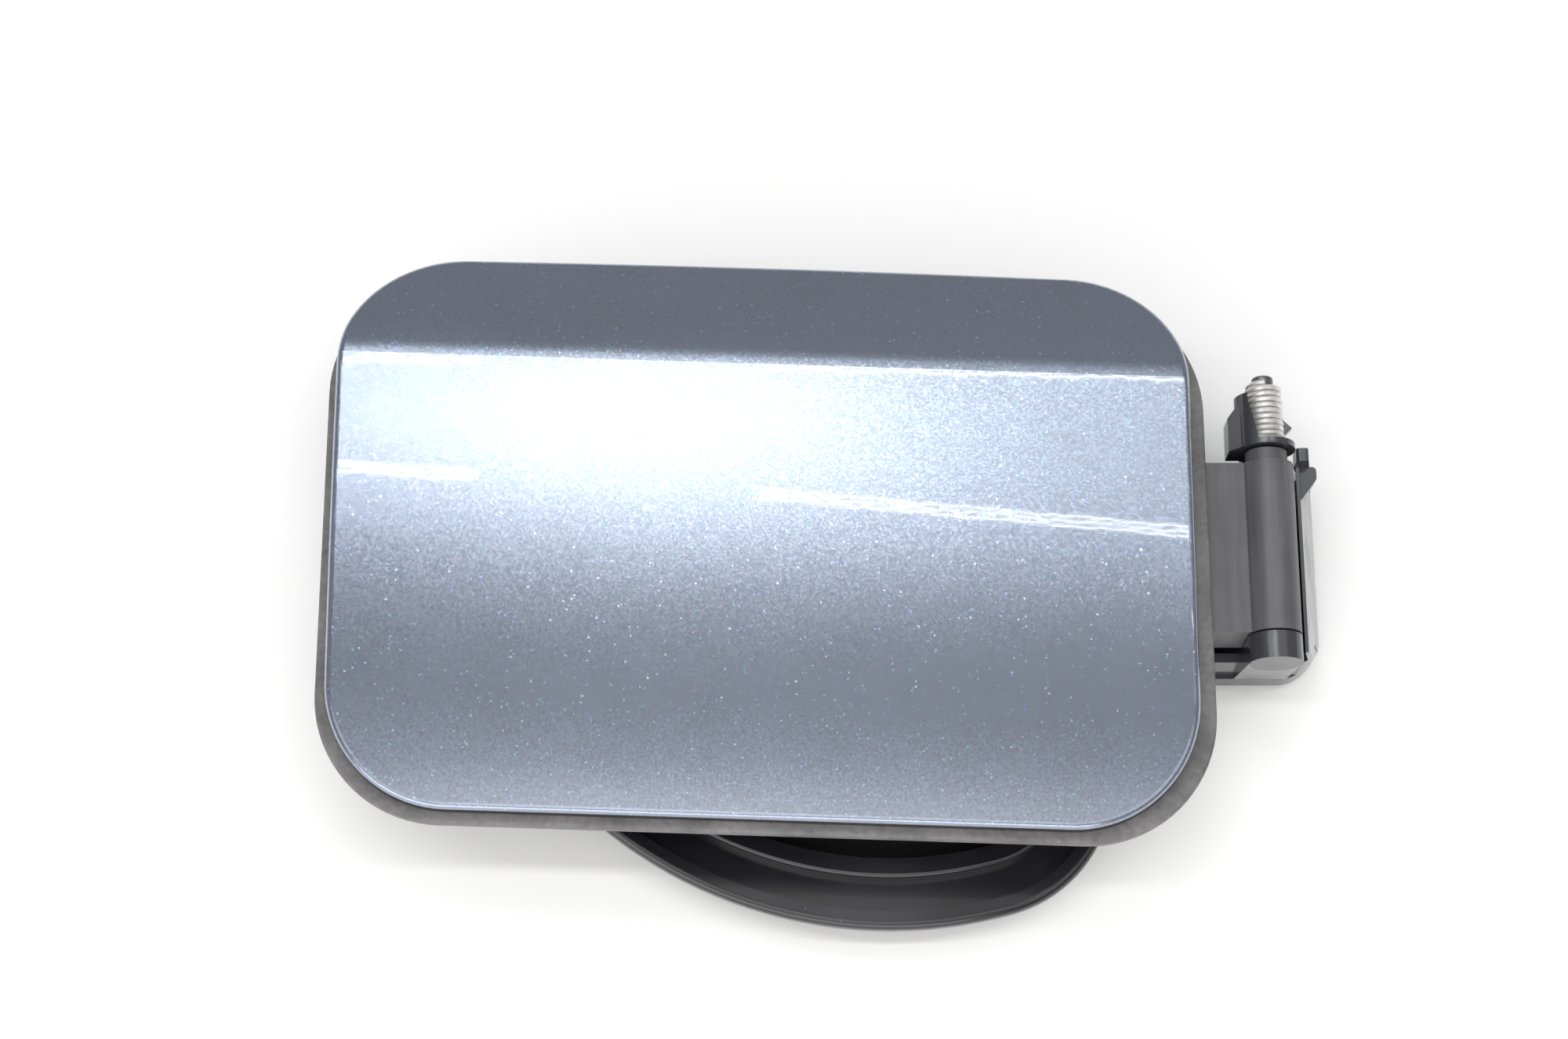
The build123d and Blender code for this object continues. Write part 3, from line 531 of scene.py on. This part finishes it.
def coil_tree():
    """One round wire: a straight leg, then a coil along Z whose last turn may close in."""
    group = bpy.data.node_groups.new("coil_wire", "GeometryNodeTree")
    group.interface.new_socket("Geometry", in_out="OUTPUT", socket_type="NodeSocketGeometry")
    for name in ("Turns", "Coil Radius", "End Radius", "Wire Radius", "Pitch", "Closed Turns",
                 "Leg"):
        group.interface.new_socket(name, in_out="INPUT", socket_type="NodeSocketFloat")
    for name in ("Points", "Wire Sides"):
        group.interface.new_socket(name, in_out="INPUT", socket_type="NodeSocketInt")
    for name in ("Place", "Turned"):
        group.interface.new_socket(name, in_out="INPUT", socket_type="NodeSocketVector")
    group.interface.new_socket("Finish", in_out="INPUT", socket_type="NodeSocketMaterial")

    tree = Tree(group)
    turns = tree.node("NodeGroupInput", output="Turns")
    radius, end_radius = turns.other("Coil Radius"), turns.other("End Radius")
    wire, leg = turns.other("Wire Radius"), turns.other("Leg")
    closed = turns.other("Closed Turns")
    along = tree.node("GeometryNodeSplineParameter", output="Factor")
    run = along * (turns * radius * TAU + leg) - leg
    angle = run.math("MAXIMUM", 0.0) / radius
    turn = angle / TAU
    width = radius + tree.spread(turn, turns - 1, turns, "SMOOTHSTEP") * (end_radius - radius)
    open_turns = turns - closed * 2
    rise = (
        (turn.math("MINIMUM", closed) + (turn - turns + closed).math("MAXIMUM", 0.0)) * wire * 2
        + (turn - closed).math("MAXIMUM", 0.0).math("MINIMUM", open_turns) * turns.other("Pitch")
    )
    place = tree.node("ShaderNodeCombineXYZ", {}, {
        "X": width * angle.math("COSINE"),
        "Y": width * angle.math("SINE") + run.math("MINIMUM", 0.0),
        "Z": rise,
    })
    line = tree.node("GeometryNodeCurvePrimitiveLine")
    line = tree.node("GeometryNodeResampleCurve", {"mode": "COUNT"},
                     {"Curve": line, "Count": turns.other("Points")})
    line = tree.node("GeometryNodeSetPosition", {}, {"Geometry": line, "Position": place})
    ring = tree.node("GeometryNodeCurvePrimitiveCircle", {"mode": "RADIUS"},
                     {"Resolution": turns.other("Wire Sides"), "Radius": wire})
    tube = tree.node("GeometryNodeCurveToMesh", {},
                     {"Curve": line, "Profile Curve": ring, "Fill Caps": True})
    tube = tree.node("GeometryNodeSetShadeSmooth", {}, {"Geometry": tube, "Shade Smooth": True})
    tube = tree.node("GeometryNodeTransform", {"mode": "COMPONENTS"}, {
        "Geometry": tube,
        "Translation": turns.other("Place"),
        "Rotation": turns.other("Turned"),
    })
    tube = tree.node("GeometryNodeRealizeInstances", {}, {"Geometry": tube})
    tube = tree.node("GeometryNodeSetMaterial", {},
                     {"Geometry": tube, "Material": turns.other("Finish")})
    tree.node("NodeGroupOutput", {}, {"Geometry": tube})
    return group


def wound_wire(name, sizes):
    """A wound spring as a plain mesh object, with its place in its mesh."""
    group = bpy.data.node_groups.get("coil_wire") or coil_tree()
    maker = bpy.data.objects.new(name + "_maker", bpy.data.meshes.new(name + "_maker"))
    bpy.context.scene.collection.objects.link(maker)
    modifier = maker.modifiers.new("coil", "NODES")
    modifier.node_group = group
    for item in group.interface.items_tree:
        if item.in_out == "INPUT":
            modifier[item.identifier] = sizes[item.name]
    made = maker.evaluated_get(bpy.context.evaluated_depsgraph_get())
    mesh = bpy.data.meshes.new_from_object(made)
    bpy.data.objects.remove(maker)
    if not mesh.polygons:
        raise RuntimeError(name + " came out empty")
    mesh.name = name
    piece = bpy.data.objects.new(name, mesh)
    bpy.context.scene.collection.objects.link(piece)
    return piece


class FUELDOOR_OT_painted_skin(bpy.types.Operator):
    """Paint the flap's skin"""

    bl_idname = "fuel_door.painted_skin"
    bl_label = "Painted Skin"

    def execute(self, context):
        dress(paint_finish(context.scene.fuel_door.paint), "outer_skin")
        return {"FINISHED"}


class FUELDOOR_OT_rim(bpy.types.Operator):
    """Finish the rubber rim round the skin"""

    bl_idname = "fuel_door.rim"
    bl_label = "Rim"

    def execute(self, context):
        dress(dusty_rubber_finish(context.scene.fuel_door.rubber), "edge_seal")
        return {"FINISHED"}


class FUELDOOR_OT_inner_flap(bpy.types.Operator):
    """Finish the carrier behind the skin, and the rubber stops and wiper"""

    bl_idname = "fuel_door.inner_flap"
    bl_label = "Inner Flap"

    def execute(self, context):
        plastic, rubber = context.scene.fuel_door.plastic, context.scene.fuel_door.rubber
        moulded = moulded_finish("carrier_plastic", plastic.carrier_colour,
                                 roughness=0.50, grain_size=0.45 * MM, grain=0.35)
        matt = satin_rubber_finish("stop_rubber", rubber.stop_colour, rubber,
                                   roughness=0.62, ior=1.5)
        dress(moulded, "carrier_frame")
        dress(matt, "bump_stops", "latch_wiper")
        return {"FINISHED"}


class FUELDOOR_OT_hinge(bpy.types.Operator):
    """Finish the hinge's arm, bracket and pin"""

    bl_idname = "fuel_door.hinge"
    bl_label = "Hinge"

    def execute(self, context):
        settings = context.scene.fuel_door
        dress(arm_finish(settings.plastic), "hinge_arm")
        dress(gloss_finish(settings.plastic), "hinge_bracket")
        dress(pin_finish(settings.metal), "hinge_pin")
        return {"FINISHED"}


class FUELDOOR_OT_springs(bpy.types.Operator):
    """Wind the hinge spring and the latch spring"""

    bl_idname = "fuel_door.springs"
    bl_label = "Springs"

    def execute(self, context):
        spring, metal = context.scene.fuel_door.spring, context.scene.fuel_door.metal
        zinc = plated_finish("spring_steel", metal.zinc_colour, metal.dull_zinc_colour,
                             roughness=0.34)

        coil_radius = (coil_high.z - coil_low.z) / 2 - spring.coil_wire
        first_turn_y = coil_low.y + spring.coil_wire
        coil_rise = coil_high.y - coil_low.y - 2 * spring.coil_wire
        along_pin = Matrix(((0, 1, 0), (0, 0, 1), (1, 0, 0))).to_euler()
        hinge_coil = wound_wire("hinge_coil", {
            "Turns": spring.coil_turns,
            "Coil Radius": coil_radius,
            "End Radius": spring.coil_grip,
            "Wire Radius": spring.coil_wire,
            "Pitch": coil_rise / spring.coil_turns,
            "Closed Turns": 0.0,
            "Leg": spring.coil_leg,
            "Points": int(spring.points_per_turn * spring.coil_turns),
            "Wire Sides": spring.wire_sides,
            "Place": (hinge_x, first_turn_y, hinge_z),
            "Turned": tuple(along_pin),
            "Finish": zinc,
        })
        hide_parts("torsion_spring")
        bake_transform(hinge_coil)

        push_radius = (push_high.x - push_low.x) / 2 - spring.push_wire
        push_rise = push_high.z - push_low.z - 2 * spring.push_wire
        closed_turns = 1.0
        closed_rise = 2 * closed_turns * 2 * spring.push_wire
        latch_coil = wound_wire("latch_coil", {
            "Turns": spring.push_turns,
            "Coil Radius": push_radius,
            "End Radius": push_radius,
            "Wire Radius": spring.push_wire,
            "Pitch": (push_rise - closed_rise) / (spring.push_turns - 2 * closed_turns),
            "Closed Turns": closed_turns,
            "Leg": 0.0,
            "Points": int(spring.points_per_turn * spring.push_turns),
            "Wire Sides": spring.wire_sides,
            "Place": (push_x, push_y, push_low.z + spring.push_wire),
            "Turned": (0.0, 0.0, 0.0),
            "Finish": zinc,
        })
        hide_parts("latch_spring")
        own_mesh(latch_coil)
        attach(latch_coil, "bowl")
        return {"FINISHED"}


class FUELDOOR_OT_bowl(bpy.types.Operator):
    """Finish the filler bowl, the collar and the neck's ring"""

    bl_idname = "fuel_door.bowl"
    bl_label = "Bowl"

    def execute(self, context):
        plastic, rubber = context.scene.fuel_door.plastic, context.scene.fuel_door.rubber
        moulded = moulded_finish("bowl_plastic", plastic.bowl_colour,
                                 roughness=0.52, grain_size=0.5 * MM, grain=0.4)
        satin = satin_rubber_finish("collar_rubber", rubber.collar_colour, rubber,
                                    roughness=0.16, ior=1.65)
        dress(moulded, "filler_bowl")
        dress(satin, "collar_seal", "neck_seal")
        return {"FINISHED"}


class FUELDOOR_OT_latch(bpy.types.Operator):
    """Finish the latch, its keeper and its plunger"""

    bl_idname = "fuel_door.latch"
    bl_label = "Latch"

    def execute(self, context):
        plastic = context.scene.fuel_door.plastic
        dark = moulded_finish("latch_plastic", plastic.latch_colour,
                              roughness=0.40, grain_size=0.4 * MM, grain=0.2)
        pale = moulded_finish("plunger_plastic", plastic.plunger_colour,
                              roughness=0.32, grain_size=0.6 * MM, grain=0.1)
        dress(dark, "latch_body", "latch_keeper")
        dress(pale, "latch_plunger")
        return {"FINISHED"}


class FUELDOOR_OT_screws(bpy.types.Operator):
    """Finish the screws"""

    bl_idname = "fuel_door.screws"
    bl_label = "Screws"

    def execute(self, context):
        metal = context.scene.fuel_door.metal
        zinc = plated_finish("screw_steel", metal.screw_colour, metal.dull_zinc_colour,
                             roughness=0.30)
        dress(zinc, "arm_screws", "keeper_screws", "bracket_screws", "latch_screws")
        return {"FINISHED"}


def lamp(name, place, aim, size, level):
    """A rectangular lamp of even brightness, aimed at a point and hidden from the camera."""
    light = bpy.data.lights.new(name, "AREA")
    light.shape = "RECTANGLE"
    light.size, light.size_y = size
    light.energy = level * math.pi * size[0] * size[1]
    made = bpy.data.objects.new(name, light)
    made.location = place
    made.rotation_euler = (Vector(aim) - Vector(place)).to_track_quat("-Z", "Y").to_euler()
    made.visible_camera = False
    bpy.context.scene.collection.objects.link(made)
    return made


def sheet(name, material, x, y, z):
    """A level sheet of the stage, between two values of x and two of y."""
    mesh = bpy.data.meshes.new(name)
    corners = [(x[0], y[0], z), (x[1], y[0], z), (x[1], y[1], z), (x[0], y[1], z)]
    mesh.from_pydata(corners, [], [(0, 1, 2, 3)])
    mesh.materials.append(material)
    made = bpy.data.objects.new(name, mesh)
    bpy.context.scene.collection.objects.link(made)
    return made


def ceiling_finish(stage):
    """Soft overhead lamp: a bright core on a band that leans a little, and a lighter front part."""
    core_x, core_reach = -0.108, 0.168
    band_y, band_reach, band_lean = 0.412, 0.16, 0.05
    front_x, front_reach = -0.12, 0.22
    front_start_y, front_full_y = -0.075, -0.165
    front_base, front_swell = 0.65, 0.55
    finish = Finish("ceiling_lamp")
    x = finish.node("ShaderNodeSeparateXYZ", {}, {"Vector": finish.place}, "X")
    y = x.other("Y")
    core = bell(x, core_x, core_reach) * stage.core_level
    band = bell(y + x * band_lean, band_y, band_reach)
    front = finish.spread(y, front_start_y, front_full_y, "SMOOTHSTEP") * stage.front_level
    front = front * (front_base + front_swell * bell(x, front_x, front_reach))
    shade = finish.mix(band, stage.base_colour, stage.band_colour)
    level = band * (core + stage.band_level) + front + stage.ceiling_level
    return finish.glow({"Color": shade, "Strength": level})


def lamp_row(name, start, end, level, breadth):
    """Three wavering lines of short lamps that face down, from one end of the row to the other."""
    pitch, half_length = 5 * MM, 2.1 * MM
    line_gap, sway, half_breadth = 7 * MM * breadth, 2 * MM * breadth, 0.9 * MM * breadth
    slow_wave, quick_wave = 0.47, 1.7
    corners = (
        (-half_length, -half_breadth),
        (-half_length, half_breadth),
        (half_length, half_breadth),
        (half_length, -half_breadth),
    )
    start, end = Vector(start), Vector(end)
    count = int((end - start).length / pitch)
    points, faces = [], []
    for i in range(count):
        for line in (-1, 0, 1):
            wave = math.sin(i * slow_wave + line) + math.sin(i * quick_wave + 2 * line)
            aside = line * line_gap + sway * wave / 2
            middle = start.lerp(end, i / count) + Vector((0, aside, 0))
            first = len(points)
            points += [middle + Vector((x, y, 0)) for x, y in corners]
            faces.append(range(first, first + 4))
    mesh = bpy.data.meshes.new(name)
    mesh.from_pydata(points, [], faces)
    mesh.materials.append(Finish(name).glow({"Strength": level}))
    made = bpy.data.objects.new(name, mesh)
    made.visible_camera = False
    bpy.context.scene.collection.objects.link(made)


def table_finish(stage):
    """Pale table top that the camera sees as white, with the object's shadow on it."""
    cloud_size, cloud_shade = 0.4, 0.985
    finish = Finish("table_top")
    seen = finish.node("ShaderNodeLightPath", output="Is Camera Ray")
    seen = seen + seen.other("Is Glossy Ray") + seen.other("Is Transmission Ray")
    cloud = finish.noise(cloud_size, 2.0)
    shade = scaled(stage.floor_colour, cloud_shade)
    top = finish.node("ShaderNodeBsdfDiffuse", {},
                      {"Color": finish.mix(cloud, stage.floor_colour, shade)})
    glow = finish.node("ShaderNodeEmission", {},
                       {"Strength": seen.math("MINIMUM", 1.0) * stage.floor_lift})
    return finish.end(finish.node("ShaderNodeAddShader", {}, {0: top, 1: glow}))


def room(stage):
    """Soft light from the walls, white where the camera looks past the floor."""
    world = bpy.data.worlds.new("room")
    world.use_nodes = True
    world.node_tree.nodes.clear()
    tree = Tree(world.node_tree)
    lit = tree.node("ShaderNodeBackground", {}, {"Color": stage.wall_colour, "Strength": 1.0})
    white = tree.node("ShaderNodeBackground", {}, {"Color": (1, 1, 1, 1), "Strength": 1.0})
    seen = tree.node("ShaderNodeLightPath", output="Is Camera Ray")
    both = tree.node("ShaderNodeMixShader", {}, {0: seen, 1: lit, 2: white})
    tree.node("ShaderNodeOutputWorld", {}, {"Surface": both})
    bpy.context.scene.world = world


def hang_lamps(stage):
    """A soft panel in front, a strip overhead that no gloss mirrors, and rows of small lamps."""
    lamps_z, strip_y = 1.25, -0.02
    lamp("front_panel", (-0.5, -1.4, 0.55), (0.0, 0.0, 0.03), (2.2, 0.9), stage.panel_level)
    strip = lamp("top_strip", (0.0, strip_y, lamps_z), (0.0, strip_y, 0.0), (1.6, 0.08),
                 stage.strip_level)
    strip.visible_glossy = False
    outer_x, left_end_x, right_end_x = 0.9, -0.203, -0.025
    far, near = (stage.far_row_level, stage.far_row_breadth), (stage.row_level, 1.0)
    rows = (
        ("far_row_left", (-outer_x, 0.50), (left_end_x, 0.50), *far),
        ("far_row_right", (right_end_x, 0.50), (outer_x, 0.48), *far),
        ("near_row_left", (-outer_x, 0.40), (left_end_x, 0.32), *near),
        ("near_row_right", (right_end_x, 0.30), (outer_x, 0.14), *near),
    )
    for name, start, end, level, breadth in rows:
        lamp_row(name, (*start, lamps_z), (*end, lamps_z), level, breadth)


def set_camera(scene, stage):
    """A camera that looks down at the flap from in front."""
    height = stage.camera_height
    backwards = Vector((0, -math.cos(height), math.sin(height)))
    camera = bpy.data.cameras.new("camera")
    camera.lens = stage.camera_lens
    made = bpy.data.objects.new("camera", camera)
    made.location = Vector(stage.camera_aim) + stage.camera_distance * backwards
    made.rotation_euler = (math.pi / 2 - height, 0, 0)
    scene.collection.objects.link(made)
    scene.camera = made


class FUELDOOR_OT_stage(bpy.types.Operator):
    """Lay the floor and set the light and the camera"""

    bl_idname = "fuel_door.stage"
    bl_label = "Stage"

    def execute(self, context):
        scene, stage = context.scene, context.scene.fuel_door.stage
        table_span, table_z = (-6, 6), -0.1 * MM
        sheet("table_top", table_finish(stage), table_span, table_span, table_z)
        ceiling_x, ceiling_y, ceiling_z = (-1.2, 1.2), (-1.2, 1.0), 1.26
        ceiling = sheet("ceiling_lamp", ceiling_finish(stage), ceiling_x, ceiling_y, ceiling_z)
        ceiling.visible_camera = False
        room(stage)
        hang_lamps(stage)
        set_camera(scene, stage)
        scene.view_settings.view_transform = "Standard"
        return {"FINISHED"}


class FUELDOOR_PT_sidebar(bpy.types.Panel):
    """Lists the pieces and the stage"""

    bl_label = "Fuel Door"
    bl_idname = "FUELDOOR_PT_sidebar"
    bl_space_type = "VIEW_3D"
    bl_region_type = "UI"
    bl_category = "Fuel Door"

    def draw(self, context):
        settings = context.scene.fuel_door
        for group in (settings.paint, settings.rubber, settings.plastic, settings.metal,
                      settings.spring, settings.stage):
            box = self.layout.box()
            for name in group.__annotations__:
                box.prop(group, name)
        for operator in OPERATORS:
            self.layout.operator(operator.bl_idname)


OPERATORS = (
    FUELDOOR_OT_painted_skin,
    FUELDOOR_OT_rim,
    FUELDOOR_OT_inner_flap,
    FUELDOOR_OT_hinge,
    FUELDOOR_OT_springs,
    FUELDOOR_OT_bowl,
    FUELDOOR_OT_latch,
    FUELDOOR_OT_screws,
    FUELDOOR_OT_stage,
)
CLASSES = (
    PaintSettings,
    RubberSettings,
    PlasticSettings,
    MetalSettings,
    SpringSettings,
    StageSettings,
    FuelDoorSettings,
    *OPERATORS,
    FUELDOOR_PT_sidebar,
)


def register():
    for item in CLASSES:
        bpy.utils.register_class(item)
    bpy.types.Scene.fuel_door = PointerProperty(type=FuelDoorSettings)


def unregister():
    del bpy.types.Scene.fuel_door
    for item in reversed(CLASSES):
        bpy.utils.unregister_class(item)


def main():
    """Makes the whole scene."""
    register()
    bpy.ops.fuel_door.painted_skin()
    bpy.ops.fuel_door.rim()
    bpy.ops.fuel_door.inner_flap()
    bpy.ops.fuel_door.hinge()
    bpy.ops.fuel_door.springs()
    bpy.ops.fuel_door.bowl()
    bpy.ops.fuel_door.latch()
    bpy.ops.fuel_door.screws()
    bpy.ops.fuel_door.stage()


if __name__ == "__main__":
    main()
